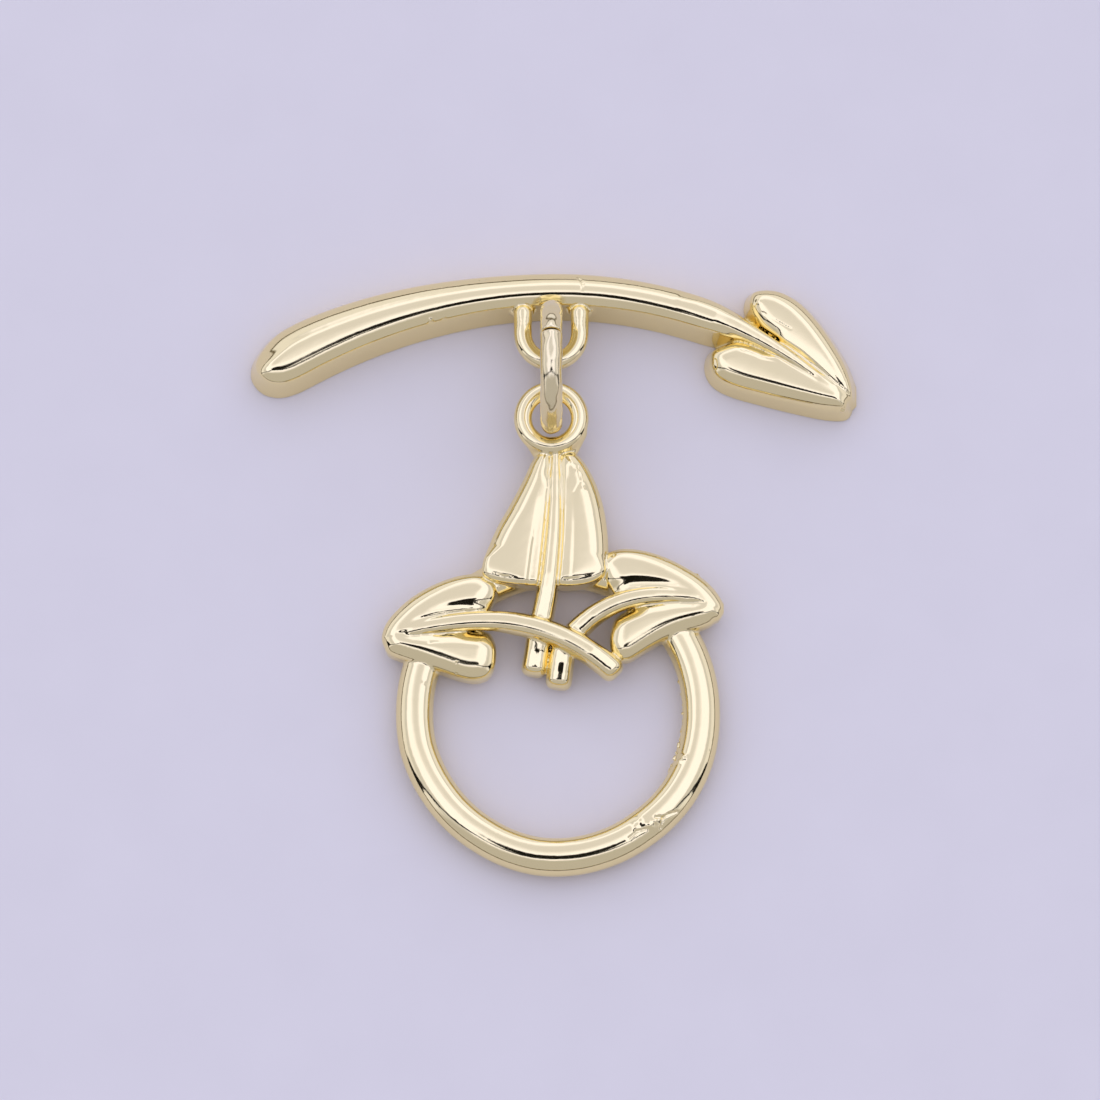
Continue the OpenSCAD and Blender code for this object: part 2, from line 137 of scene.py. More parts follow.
# Leaves. Lobes: [share of the length back from the tip, share of the width out from the midrib].
# Edges: [share of the length, reach in from the side, depth down from the top]. Folds: [share of the
# length, out from the midrib, drop, width], where the lobe steps down towards the midrib. Stems:
# [share of the length, half width, top, half depth, sideways]. All in mm but the shares.
leaves = {
    "leftLeaf": {
        "spine": leftSpine, "length": 5.33, "width": 2.55, "height": 1.98,
        "edge": [[0, 0.95, 0.7], [1, 0.98, 0.64]], "under": 0.8, "draft": 0.0, "crown": 0.04,
        "lobes": {
            1: [[0, 0.08], [0.02, 0.22], [0.08, 0.39], [0.18, 0.545], [0.34, 0.74], [0.58, 0.93],
                [0.78, 1.01], [0.9, 0.97], [0.97, 0.84], [0.98, 0.62], [0.95, 0.42], [0.86, -0.04],
                [0.02, -0.12]],
            -1: [[0, 0.08], [0.03, 0.2], [0.14, 0.37], [0.3, 0.57], [0.46, 0.74], [0.6, 0.88], [0.74, 0.96],
                 [0.88, 0.94], [0.98, 0.78], [1, 0.5], [0.98, 0.24], [0.9, -0.04], [0.02, -0.12]],
        },
        "folds": {
            1: [[[0.4, 0.6, 0, 0.2], [0.52, 0.74, 0.02, 0.25], [0.6, 0.8, 0.045, 0.32],
                 [0.75, 0.84, 0.072, 0.45], [0.9, 0.8, 0.078, 0.48], [1.05, 0.74, 0.078, 0.48]],
                [[0.25, 0.4, 0, 0.12], [0.5, 0.45, 0.05, 0.14], [1.05, 0.45, 0.07, 0.14]]],
            -1: [[[0.1, 0.25, 0, 0.4], [0.25, 0.45, 0.14, 0.6], [0.5, 0.72, 0.28, 0.9],
                  [0.8, 0.85, 0.34, 1.0], [1.0, 0.85, 0.32, 1.0]]],
        },
        "stem": [[0.05, 0.12, 1.75, 0.15, 0.0], [0.2, 0.28, 1.98, 0.22, 0.0], [0.5, 0.36, 2.1, 0.28, 0.0],
                 [0.95, 0.44, 2.16, 0.4, 0.0], [1.15, 0.5, 2.2, 0.55, 0.0], [1.6, 0.54, 2.3, 0.65, 0.0],
                 [1.85, 0.55, 2.28, 0.65, 0.0], [2.04, 0.55, 2.15, 0.65, 0.0], [2.13, 0.52, 2.05, 0.62, 0.0]],
    },
    "rightLeaf": {
        "spine": rightSpine, "length": 5.93, "width": 2.77, "height": 1.98,
        "edge": [[0, 0.9, 0.68], [1, 0.88, 0.6]], "under": 1.0, "draft": 0.0, "crown": 0.04,
        "lobes": {
            -1: [[-0.02, 0.06], [0, 0.23], [0.09, 0.4], [0.19, 0.535], [0.32, 0.68], [0.46, 0.85],
                 [0.58, 0.98], [0.69, 1.05], [0.77, 0.97], [0.8, 0.82], [0.8, 0.5], [0.77, 0.2],
                 [0.7, -0.04], [0.0, -0.12]],
            1: [[0, 0.02], [0.03, 0.17], [0.11, 0.31], [0.25, 0.45], [0.42, 0.585], [0.58, 0.7], [0.74, 0.78],
                [0.88, 0.81], [0.98, 0.73], [1.01, 0.58], [0.98, 0.4], [0.9, 0.2], [0.8, -0.04],
                [0.02, -0.12]],
        },
        "folds": {
            -1: [[[0.3, 0.6, 0, 0.2], [0.4, 0.68, 0.03, 0.25], [0.5, 0.78, 0.06, 0.38],
                  [0.64, 0.94, 0.082, 0.5], [0.82, 1.04, 0.09, 0.55]],
                 [[0.25, 0.42, 0, 0.12], [0.5, 0.46, 0.05, 0.14], [0.85, 0.52, 0.07, 0.14]]],
            1: [[[0.1, 0.15, 0, 0.3], [0.2, 0.3, 0.12, 0.5], [0.45, 0.52, 0.24, 0.8], [0.8, 0.65, 0.3, 0.9],
                 [1.0, 0.65, 0.28, 0.9]]],
        },
        "stem": [[0.05, 0.12, 1.75, 0.15, -0.1], [0.2, 0.28, 1.98, 0.22, -0.12],
                 [0.5, 0.36, 2.1, 0.28, -0.12], [0.8, 0.42, 2.14, 0.4, -0.14],
                 [1, 0.48, 2.1, 0.55, -0.1], [1.13, 0.52, 2.0, 0.62, -0.04],
                 [1.27, 0.53, 1.85, 0.65, 0.0], [1.38, 0.56, 1.76, 0.65, 0.0], [1.46, 0.57, 1.7, 0.65, 0.0],
                 [1.53, 0.58, 1.61, 0.65, 0.0], [1.59, 0.58, 1.55, 0.65, 0.0], [1.64, 0.56, 1.5, 0.65, 0.0]],
    },
    "topLeaf": {
        "spine": topSpine, "length": 6.4, "width": 2.85, "height": 2.1,
        "edge": [[0, 0.6, 0.6], [0.2, 0.85, 0.7], [0.5, 1.0, 0.8], [0.78, 0.9, 0.75], [0.88, 0.35, 0.32]],
        "under": 0.9, "draft": 0.0, "crown": 0.08,
        "lobes": {
            -1: [[0, 0.25], [0.08, 0.38], [0.2, 0.48], [0.34, 0.62], [0.48, 0.77], [0.6, 0.89], [0.74, 0.985],
                 [0.88, 1.055], [0.96, 1.035], [1, 0.87], [1.01, 0.5], [1, 0.1],
                 [0.95, -0.04], [0.02, -0.04]],
            1: [[0, 0.31], [0.07, 0.46], [0.16, 0.6], [0.27, 0.72], [0.4, 0.825], [0.53, 0.89], [0.68, 0.94],
                [0.84, 0.94], [0.9, 0.86], [0.95, 0.67], [0.98, 0.37], [0.98, 0.1],
                [0.94, -0.04], [0.02, -0.04]],
        },
        "folds": {
            -1: [[[0.4, 0.64, 0, 0.2], [0.54, 0.7, 0.05, 0.22], [0.77, 0.8, 0.09, 0.24],
                  [1.1, 0.86, 0.1, 0.24]],
                 [[0.2, 0.24, 0, 0.14], [0.4, 0.3, 0.08, 0.16], [0.65, 0.32, 0.12, 0.18],
                  [1.1, 0.34, 0.14, 0.18]]],
            1: [[[0.15, 0.42, 0, 0.14], [0.3, 0.48, 0.08, 0.16], [0.7, 0.58, 0.12, 0.18],
                 [1.1, 0.62, 0.14, 0.18]],
                [[0.35, 0.9, 0, 0.2], [0.6, 1.0, 0.04, 0.24], [0.85, 1.08, 0.06, 0.26],
                 [1.1, 1.12, 0.06, 0.26]]],
        },
        "stem": [[0.06, 0.16, 1.95, 0.2, 0.02], [0.28, 0.27, 2.15, 0.25, 0.05], [0.43, 0.29, 2.22, 0.28, 0.1],
                 [0.65, 0.34, 2.25, 0.32, 0.14], [0.95, 0.42, 2.22, 0.5, 0.15], [1.05, 0.48, 2.16, 0.6, 0.12],
                 [1.12, 0.5, 2.1, 0.65, 0.1], [1.25, 0.52, 1.99, 0.65, 0.03], [1.34, 0.54, 1.91, 0.65, 0.0],
                 [1.44, 0.56, 1.79, 0.65, 0.0], [1.52, 0.56, 1.64, 0.65, 0.0], [1.62, 0.57, 1.55, 0.65, 0.0],
                 [1.68, 0.55, 1.5, 0.65, 0.0]],
    },
    "barLeaf": {
        "spine": barSpine, "length": 7.4, "width": 2.73, "height": 1.6,
        "edge": [[0, 0.6, 0.52], [1, 0.65, 0.52]], "under": 0.1, "draft": 12.0, "crown": 0.18,
        "lobes": {
            -1: [[0, 0.02], [0.06, 0.25], [0.18, 0.485], [0.33, 0.68], [0.49, 0.87], [0.63, 0.99],
                 [0.75, 1.0], [0.84, 0.91], [0.91, 0.77], [0.925, 0.56], [0.885, 0.3], [0.7, -0.04],
                 [0.04, -0.08]],
            1: [[-0.01, 0.12], [0.01, 0.29], [0.13, 0.51], [0.26, 0.665], [0.39, 0.795], [0.53, 0.905],
                [0.68, 1.0], [0.82, 1.03], [0.92, 0.965], [0.99, 0.79], [1.015, 0.55], [0.98, 0.35],
                [0.8, -0.04], [0.04, -0.08]],
        },
        "folds": {
            -1: [[[0.2, 0.05, 0, 0.14], [0.45, 0.24, 0.12, 0.2], [0.75, 0.3, 0.2, 0.26],
                  [1.0, 0.36, 0.25, 0.3]]],
            1: [[[0.25, 0.45, 0, 0.14], [0.45, 0.5, 0.1, 0.16], [0.7, 0.52, 0.17, 0.2],
                 [1.0, 0.62, 0.22, 0.24]]],
        },
        "stem": [[0.2, 0.1, 1.66, 0.15, 0.2], [0.35, 0.2, 1.76, 0.22, 0.22], [0.5, 0.27, 1.84, 0.28, 0.18],
                 [0.7, 0.36, 1.92, 0.35, 0.12], [0.85, 0.46, 1.98, 0.42, 0.06], [1.0, 0.52, 2.02, 0.45, 0.02],
                 [1.15, 0.52, 2.03, 0.45, 0.0], [1.3, 0.4, 2.0, 0.45, 0.0]],
    },
}

# The arched bar: [back from the leaf's tip, half width on the far side, and on the near side] in mm
barArm = {
    "height": 2.05, "draft": 12.0, "under": 0.1,
    "rows": [[5.4, 0.5, 0.5], [6.0, 0.74, 0.72], [6.6, 0.94, 0.9], [7.6, 1.08, 1.02], [8.5, 1.13, 1.07],
             [14.9, 1.14, 1.08], [17.2, 1.15, 1.11], [19.5, 1.22, 1.21], [21.8, 1.32, 1.33],
             [24.2, 1.4, 1.46], [26.3, 1.44, 1.58], [27.4, 1.38, 1.64]],
    "cap": [[28.0, 1.24, 1.64], [28.7, 0.94, 1.52], [29.2, 0.62, 1.22], [29.5, 0.25, 0.85],
            [29.62, -0.05, 0.45]],
    # the round edges: [back, reach in, depth down]
    "farEdge": [[6, 0.5, 0.42], [9, 0.75, 0.68], [13, 0.86, 0.83], [18, 0.98, 0.9], [22, 1.14, 0.98],
                [25.6, 1.25, 1.02]],
    "nearEdge": [[6, 0.5, 0.36], [9, 0.62, 0.42], [13, 0.78, 0.45], [25.6, 0.78, 0.45]],
    "nearDome": 6.0,                    # radius of the top's near side
    "sink": ([5.4, 7.6], [0.3, 0]),     # places back and drops, where the bar runs into its leaf
}
# a stem's section and its rounded ends
stemShape = {"power": 2.6, "width": 1.02, "taper": 0.1, "endIn": 0.3, "endRound": 0.35}
# short round rods that thicken a place on the toggle ring: [start, end, radius, fillet] in mm
ringPosts = [
    [(-0.22, 12.1, 1.1), (-0.12, 11.3, 0.75), 0.62, 0.3],       # under the eye
    [(-1.15, 12.5, 1.6), (-0.8, 12.0, 1.35), 0.4, 0.2],         # left shoulder, where the eye meets the leaf
    [(0.92, 12.78, 1.6), (0.58, 12.15, 1.35), 0.4, 0.2],        # right shoulder
]
# a small boss on the bar's wall at the end of each arm of its eye
boss = {"half": 0.25, "away": 1.36, "level": 1.2, "radius": 0.44, "fillet": 0.08}


def softened(points, times):
    # cuts the corners of a closed line, over and over
    points = np.array(points, float)
    for _ in range(times):
        after = np.roll(points, -1, axis=0)
        quarters = [points * 0.75 + after * 0.25, points * 0.25 + after * 0.75]
        points = np.stack(quarters, axis=1).reshape(-1, points.shape[1])
    return points


def trackOf(spine, spare=1.6, step=0.04):
    # rows of [back, x, y, heading] along a spine and a little past both ends
    total = sum(length for length, turn in spine[1])
    return np.array([(back, *backAlong(spine, back)) for back in np.arange(-spare, total + spare, step)])


def beside(spine, points):
    rows = []
    for back, out in points:
        x, y, heading = backAlong(spine, back)
        a = math.radians(heading)
        rows.append((x - out * math.sin(a), y + out * math.cos(a)))
    return np.array(rows)


def alongAndOut(track, x, y):
    # how far back along the spine each place is, and how far out to its left
    x, y = np.broadcast_arrays(x, y)
    back, out = np.empty(x.shape), np.empty(x.shape)
    for i in range(x.shape[0]):
        dx = x[i][:, None] - track[None, :, 1]
        dy = y[i][:, None] - track[None, :, 2]
        k = np.argmin(dx * dx + dy * dy, axis=1)
        a = np.radians(track[k, 3])
        px, py = x[i] - track[k, 1], y[i] - track[k, 2]
        back[i] = track[k, 0] + px * np.cos(a) + py * np.sin(a)
        out[i] = py * np.cos(a) - px * np.sin(a)
    return back, out


def isInside(outline, x, y):
    inside = np.zeros(np.broadcast(x, y).shape, bool)
    for (ax, ay), (bx, by) in zip(outline, np.roll(outline, -1, axis=0)):
        if ay != by:
            inside ^= ((ay > y) != (by > y)) & (x < (bx - ax) * (y - ay) / (by - ay) + ax)
    return inside


def depthInside(outlines, x, y):
    # how far each place lies in from the joint outline of overlapping shapes, negative outside it
    x, y = np.broadcast_arrays(x, y)
    inside = np.zeros(x.shape, bool)
    nearest = np.full(x.shape, 1e9)
    for outline in outlines:
        inside |= isInside(outline, x, y)
        others = [other for other in outlines if other is not outline]
        for a, b in zip(outline, np.roll(outline, -1, axis=0)):
            m = (a + b) / 2
            if any(isInside(other, m[0], m[1]) for other in others):
                continue
            run = b - a
            t = np.clip(((x - a[0]) * run[0] + (y - a[1]) * run[1]) / (run @ run), 0, 1)
            nearest = np.minimum(nearest, (x - a[0] - t * run[0]) ** 2 + (y - a[1] - t * run[1]) ** 2)
    return np.where(inside, 1, -1) * np.sqrt(nearest)


def smoothMin(a, b, soft):
    h = np.maximum(soft - np.abs(a - b), 0) / soft
    return np.minimum(a, b) - h * h * h * soft / 6


def smoothMax(a, b, soft):
    return -smoothMin(-a, -b, soft)


def easeIn(t):
    t = np.clip(t, 0, 1)
    return t * t * (3 - 2 * t)


# A block of space: each grid point says how far it is outside the metal, negative inside it
def blockFor(node, step):
    low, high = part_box(node)
    low = [low[0] / mm + middle[0], low[1] / mm + middle[1], low[2] / mm]
    high = [high[0] / mm + middle[0], high[1] / mm + middle[1], high[2] / mm]
    axes = [np.arange(a - 4 * step, b + 4 * step, step) for a, b in zip(low, high)]
    return {"axes": axes, "step": step, "out": np.ones([len(a) for a in axes], np.float32)}


def windowIn(block, low, high):
    cut = []
    for axis, a, b in zip(block["axes"], low, high):
        cut.append(slice(*np.searchsorted(axis, [a, b])))
    x, y, z = [axis[c] for axis, c in zip(block["axes"], cut)]
    return tuple(cut), x[:, None], y[None, :], z[None, None, :]


def weld(block, cut, out, soft):
    # joins a shape to what the block holds, with a soft fillet
    block["out"][cut] = smoothMin(block["out"][cut], out.astype(np.float32), soft)


def blurred(field, reach, step):
    # a soft average over places up to reach away
    for axis in (0, 1):
        for _ in range(2):
            n = max(int(reach / step / 2), 1)
            padded = np.concatenate([np.repeat(np.take(field, [0], axis), n, axis), field,
                                     np.repeat(np.take(field, [-1], axis), n, axis)], axis)
            places, count = np.arange(field.shape[axis]), 2 * n + 1
            field = sum(np.take(padded, places + k, axis) for k in range(count)) / count
    return field


def plate(z, depth, height, reach, deep, draft, under):
    # a flat plate with a wall that leans in by the draft, and an oval edge above and a round one under
    lean = math.radians(draft)
    inward = (depth[:, :, None] - z * math.tan(lean)) * math.cos(lean)
    reach, deep = reach[:, :, None], deep[:, :, None]
    parts = []
    for wide, tall, past in ((reach, deep, z - height[:, :, None]), (under, under, -z)):
        side, over = (wide - inward) * tall / wide, past + tall
        corner = np.hypot(np.maximum(side, 0), np.maximum(over, 0))
        parts.append(corner + np.minimum(np.maximum(side, over), 0) - tall)
    return smoothMax(parts[0], parts[1], 0.05)


def addLeaf(block, leaf):
    length, width = leaf["length"], leaf["width"]
    # the outline was drawn where the photo shows the rim against the table, so it moves with the height
    level = 0 if leaf["draft"] else (leaf["height"] - leaf["edge"][0][2] + leaf["under"]) / 2
    outlines = []
    for side, table in leaf["lobes"].items():
        share = softened(table, 3)
        drawn = beside(leaf["spine"], share * [length, width * side])
        outlines.append(drawn - [0, casting["lookBack"] * level])
    every = np.concatenate(outlines)
    cut, x, y, z = windowIn(block, [*(every.min(0) - 0.5), floorZ], [*(every.max(0) + 0.5), roofZ])
    depth = blurred(depthInside(outlines, x, y), casting["leafBlur"], block["step"])
    moved = casting["lookBack"] * (casting["drawnAt"] - leaf["height"])
    back, out = alongAndOut(trackOf(leaf["spine"]), x, y - moved)
    edge = np.array(leaf["edge"])
    reachIn, deep = [np.interp(back / length, edge[:, 0], edge[:, i]) for i in (1, 2)]
    height = np.full(depth.shape, leaf["height"])
    for side, folds in leaf["folds"].items():
        # the lobe is rounded across, and steps down towards the midrib
        shares = softened(leaf["lobes"][side], 2)
        shares = shares[:np.argmax(shares[:, 0])]
        shares = shares[np.argsort(shares[:, 0])]
        reach = np.interp(back / length, shares[:, 0], np.maximum(shares[:, 1], 0.2)) * width
        across = np.clip(out * side / reach, -1, 1)
        change = leaf["crown"] * (1 - (2 * across - 1) ** 2)
        for fold in folds:
            line, drop, wide = [np.interp(back / length, *np.array(fold)[:, [0, i]].T) for i in (1, 2, 3)]
            change = change - drop * easeIn((line - out * side) / wide + 0.5)
        height = height + change * easeIn(out * side / 0.1 + 0.5)
    weld(block, cut, plate(z, depth, height, reachIn, deep, leaf["draft"], leaf["under"]), 0.1)


def addStem(block, leaf, soft=0.12):
    rows = np.array(leaf["stem"])
    track = trackOf(leaf["spine"])
    first, last = rows[0, 0] * leaf["length"], rows[-1, 0] * leaf["length"]
    part = track[(track[:, 0] > first - 0.1) & (track[:, 0] < last + 0.1)]
    low, high = part[:, 1:3].min(0) - 0.9, part[:, 1:3].max(0) + 0.9
    cut, x, y, z = windowIn(block, [*low, floorZ], [*high, roofZ])
    share = alongAndOut(part, x, y)[0] / leaf["length"]
    moved = casting["lookBack"] * (casting["drawnAt"] - np.interp(share, rows[:, 0], rows[:, 2]))
    back, out = alongAndOut(part, x, y - moved)
    share = back / leaf["length"]
    half, top, tall, aside = [np.interp(share, rows[:, 0], rows[:, i])[:, :, None] for i in (1, 2, 3, 4)]
    level = (z - top + tall) / tall
    power, endRound = stemShape["power"], stemShape["endRound"]
    wide = half * (stemShape["width"] - stemShape["taper"] * np.clip(level, -1, 1))
    section = (np.abs((out[:, :, None] - aside) / wide) ** power + np.abs(level) ** power) ** (1 / power)
    body = (section - 1) * np.minimum(wide, tall)
    past = np.maximum(np.maximum(back - last + stemShape["endIn"], first - back), 0)[:, :, None]
    body = np.sqrt(np.maximum(body + endRound, 0) ** 2 + past ** 2) - endRound
    weld(block, cut, np.minimum(body, 1), soft)


def addTorus(block, centre, radius, wire, level, soft):
    reach = radius + wire
    cut, x, y, z = windowIn(block, [centre[0] - reach, centre[1] - reach, floorZ],
                            [centre[0] + reach, centre[1] + reach, roofZ])
    around = np.hypot(x - centre[0], y - centre[1]) - radius
    weld(block, cut, np.hypot(around[:, :, None], z - level) - wire / 2, soft)


def addHook(block, centre, radius, wire, level, arm, soft=0.1):
    # half a ring of round wire and two straight arms that run on from it and dip at their ends
    reach = radius + wire
    cut, x, y, z = windowIn(block, [centre[0] - reach, centre[1] - reach, floorZ],
                            [centre[0] + reach, centre[1] + arm + wire, roofZ])
    x, y = np.broadcast_arrays(x - centre[0], y - centre[1])
    around = np.where(y < 0, np.hypot(x, y), np.abs(x)) - radius
    flat = np.hypot(around, np.maximum(y - arm, 0))
    drop = (eye["dip"] * easeIn(y / arm))[:, :, None]
    weld(block, cut, np.hypot(flat[:, :, None], z - level + drop) - wire / 2, soft)


def addHoop(block):
    # the big ring: a little tall, with a section whose crest lies nearer its inside
    reach, stretch, power = hoop["crestRadius"] + 2, hoop["stretch"], hoop["power"]
    cut, x, y, z = windowIn(block, [-reach, -reach * stretch, floorZ], [reach, reach * stretch, roofZ])
    turned = np.degrees(np.arctan2(y, x)) % 360
    around = np.hypot(x, y / stretch) - hoop["crestRadius"] - np.interp(turned, *np.array(hoop["stray"]).T)
    around = around[:, :, None]
    tall = hoop["height"] / 2
    wide = np.where(around > 0, hoop["outer"], hoop["inner"])
    body = (np.abs(around / wide) ** power + np.abs((z - tall) / tall) ** power) ** (1 / power)
    weld(block, cut, (body - 1) * tall, 0.1)


def addBar(block):
    edge = barArm["rows"] + barArm["cap"]
    farSide = [[back, -far] for back, far, near in edge]
    nearSide = [[back, near] for back, far, near in edge[::-1]]
    outline = beside(barSpine, softened(farSide + nearSide, 3))
    cut, x, y, z = windowIn(block, [*(outline.min(0) - 0.5), floorZ], [*(outline.max(0) + 0.5), roofZ])
    depth = blurred(depthInside([outline], x, y), casting["barBlur"], block["step"])
    back, out = alongAndOut(trackOf(barSpine), x, y)
    # the round edges of both sides meet along the crest
    front = easeIn(out / 0.8 + 0.5)
    farEdge, nearEdge = np.array(barArm["farEdge"]), np.array(barArm["nearEdge"])
    reachIn, deep = [np.interp(back, farEdge[:, 0], farEdge[:, i]) * (1 - front)
                     + np.interp(back, nearEdge[:, 0], nearEdge[:, i]) * front for i in (1, 2)]
    domed = np.maximum(out, 0) ** 2 / 2 / barArm["nearDome"]
    height = barArm["height"] - np.interp(back, *barArm["sink"]) - domed
    weld(block, cut, plate(z, depth, height, reachIn, deep, barArm["draft"], barArm["under"]), 0.1)


def addPost(block, start, end, radius, soft):
    a, b = np.array(start), np.array(end)
    low, high = np.minimum(a, b) - radius - 0.4, np.maximum(a, b) + radius + 0.4
    cut, x, y, z = windowIn(block, low, high)
    run = b - a
    along = ((x - a[0]) * run[0] + (y - a[1]) * run[1])[:, :, None] + (z - a[2]) * run[2]
    t = np.clip(along, 0, run @ run) / (run @ run)
    dx, dy, dz = x[:, :, None] - a[0] - t * run[0], y[:, :, None] - a[1] - t * run[1], z - a[2] - t * run[2]
    weld(block, cut, np.sqrt(dx * dx + dy * dy + dz * dz) - radius, soft)


# Marks that the casting left. Grooves: half width, depth and places; lumps: [x, y, radius, proud], in mm
castMarks = {
    "ring": {
        "grooves": [
            (0.06, 0.06, [(5.37, -4.7), (5.0, -4.83), (4.73, -4.98), (4.37, -4.98)]),
            (0.06, 0.06, [(4.73, -4.98), (4.64, -5.45)]),
            (0.05, 0.05, [(4.0, -5.52), (3.55, -5.62), (3.2, -5.95)]),
            (0.04, 0.03, [(-5.85, 3.0), (-5.4, 3.05)]),
            (0.04, 0.03, [(-4.6, 2.1), (-4.55, 1.75), (-4.65, 1.5)]),
            (0.05, 0.04, [(4.9, 6.9), (5.3, 7.05), (5.5, 6.9)]),
            (0.04, 0.03, [(0.9, 11.2), (1.0, 10.4), (0.75, 9.9)]),
        ],
        "lumps": [
            [3.73, -5.17, 0.3, 0.05], [4.1, -5.26, 0.28, 0.06], [3.5, -5.42, 0.25, 0.04],
            [4.35, -5.1, 0.2, 0.04], [5.73, -2.24, 0.2, 0.06], [5.55, -2.4, 0.16, 0.04],
            [0.6, 11.3, 0.16, 0.03], [0.85, 10.9, 0.14, 0.03], [1.05, 10.5, 0.16, 0.03],
            [1.1, 10.1, 0.12, 0.03], [-6.1, 1.2, 0.1, 0.02], [6.3, 6.2, 0.1, 0.02],
        ],
    },
    "bar": {
        "grooves": [
            (0.04, 0.03, [(0.78, 20.03), (1.05, 19.89), (1.14, 19.66), (1.1, 19.38)]),
            (0.04, 0.03, [(-3.63, 19.9), (-3.18, 19.98)]),
            (0.04, 0.02, [(9.3, 18.4), (9.9, 18.0), (10.6, 17.6)]),
            (0.04, 0.03, [(12.85, 13.9), (13.1, 14.15)]),
            (0.04, 0.02, [(8.3, 16.7), (9.2, 16.3), (10.0, 16.1)]),
        ],
        "lumps": [
            [12.95, 13.95, 0.12, 0.03], [-5.2, 18.2, 0.1, 0.02], [-5.8, 18.05, 0.12, 0.02],
            [9.2, 18.9, 0.2, 0.03],
        ],
    },
}
# the rough parting line on the ring's inner side, as a row of beads: degrees, and the rest in mm
partingLine = {
    "seed": 4, "radius": 5.68, "inward": (-0.02, 0.03), "level": 0.95, "rise": (-0.08, 0.08),
    "turn": (-28, 16), "step": 1.5, "spread": (0.6, 1.4), "size": (0.05, 0.1), "fillet": 0.04,
}


def topAt(block, x, y):
    # height of the metal's upper surface over one place, or None beside the metal
    i, j = [int(round((place - axis[0]) / block["step"])) for place, axis in zip((x, y), block["axes"])]
    column = block["out"][i, j]
    inside = np.flatnonzero(column < 0)
    if not len(inside):
        return None
    k = inside[-1]
    return block["axes"][2][k] + block["step"] * column[k] / (column[k] - column[k + 1])


def addBall(block, centre, radius, soft, cuts=False):
    low, high = np.array(centre) - radius - 0.3, np.array(centre) + radius + 0.3
    cut, x, y, z = windowIn(block, low, high)
    asideSquared = (x[:, :, None] - centre[0]) ** 2 + (y[:, :, None] - centre[1]) ** 2
    ball = np.sqrt(asideSquared + (z - centre[2]) ** 2) - radius
    if cuts:
        block["out"][cut] = smoothMax(block["out"][cut], -ball.astype(np.float32), soft)
    else:
        weld(block, cut, ball, soft)


def addMarks(block, marks):
    for x, y, radius, proud in marks["lumps"]:
        top = topAt(block, x, y)
        if top is not None:
            addBall(block, (x, y, top - radius + proud), radius, 0.1)
    for half, depth, places in marks["grooves"]:
        line = []
        for (ax, ay), (bx, by) in zip(places, places[1:]):
            count = max(int(math.hypot(bx - ax, by - ay) / 0.04), 1)
            line += [(ax + (bx - ax) * k / count, ay + (by - ay) * k / count) for k in range(count + 1)]
        tops = [topAt(block, x, y) for x, y in line]
        for (x, y), top in zip(line, tops):
            if top is not None:
                addBall(block, (x, y, top + half - depth), half, 0.03, cuts=True)


def addPartingLine(block):
    chance = random.Random(partingLine["seed"])
    turn, end = partingLine["turn"]
    while turn < end:
        a = math.radians(turn)
        r = partingLine["radius"] - chance.uniform(*partingLine["inward"])
        level = partingLine["level"] + chance.uniform(*partingLine["rise"])
        centre = (r * math.cos(a), r * math.sin(a) * hoop["stretch"], level)
        addBall(block, centre, chance.uniform(*partingLine["size"]), partingLine["fillet"])
        turn += partingLine["step"] * chance.uniform(*partingLine["spread"])


def meshOf(name, block):
    grid = openvdb.FloatGrid(1.0)
    grid.copyFromArray(np.ascontiguousarray(np.clip(block["out"], -1, 1)))
    points, triangles, quads = grid.convertToPolygons(isovalue=0.0, adaptivity=0.0)
    origin = np.array([axis[0] for axis in block["axes"]]) - [middle[0], middle[1], 0]
    points = (np.array(points) * block["step"] + origin) * mm
    faces = [list(map(int, q)) for q in quads] + [list(map(int, t)) for t in triangles]
    mesh = bpy.data.meshes.new(name)
    mesh.from_pydata(points.tolist(), [], faces)
    mesh.validate()
    piece = bpy.data.objects.new(name, mesh)
    bpy.context.scene.collection.objects.link(piece)
    count = 2 * len(quads) + len(triangles)
    if count > casting["mostTriangles"]:
        thin = piece.modifiers.new("thin", "DECIMATE")
        thin.ratio = casting["mostTriangles"] / count
        applyAll(piece)
    piece.data.polygons.foreach_set("use_smooth", [True] * len(piece.data.polygons))
    print(name, "has", len(piece.data.polygons), "faces from", count, "triangles")
    return piece


def applyAll(piece):
    shaped = bpy.data.meshes.new_from_object(piece.evaluated_get(bpy.context.evaluated_depsgraph_get()))
    piece.modifiers.clear()
    piece.data = shaped


def ringCasting():
    block = blockFor("toggle_ring", castStep)
    addHoop(block)
    for name in ("leftLeaf", "rightLeaf", "topLeaf"):
        addLeaf(block, leaves[name])
    addTorus(block, ringEye, eye["radius"], eye["wire"], eye["level"], soft=0.2)
    for name in ("topLeaf", "rightLeaf", "leftLeaf"):
        addStem(block, leaves[name])
    for start, end, radius, soft in ringPosts:
        addPost(block, start, end, radius, soft)
    addMarks(block, castMarks["ring"])
    addPartingLine(block)
    return meshOf("toggleRingCasting", block)


def barCasting():
    block = blockFor("toggle_bar", castStep)
    addLeaf(block, leaves["barLeaf"])
    addBar(block)
    addStem(block, leaves["barLeaf"])
    addHook(block, barEye, eye["radius"], eye["wire"], eye["level"], eye["arm"])
    for side in (-1, 1):
        x, y = barEye[0] + side * eye["radius"], barEye[1] + boss["away"]
        start, end = (x - boss["half"], y, boss["level"]), (x + boss["half"], y, boss["level"])
        addPost(block, start, end, boss["radius"], boss["fillet"])
    addMarks(block, castMarks["bar"])
    return meshOf("toggleBarCasting", block)


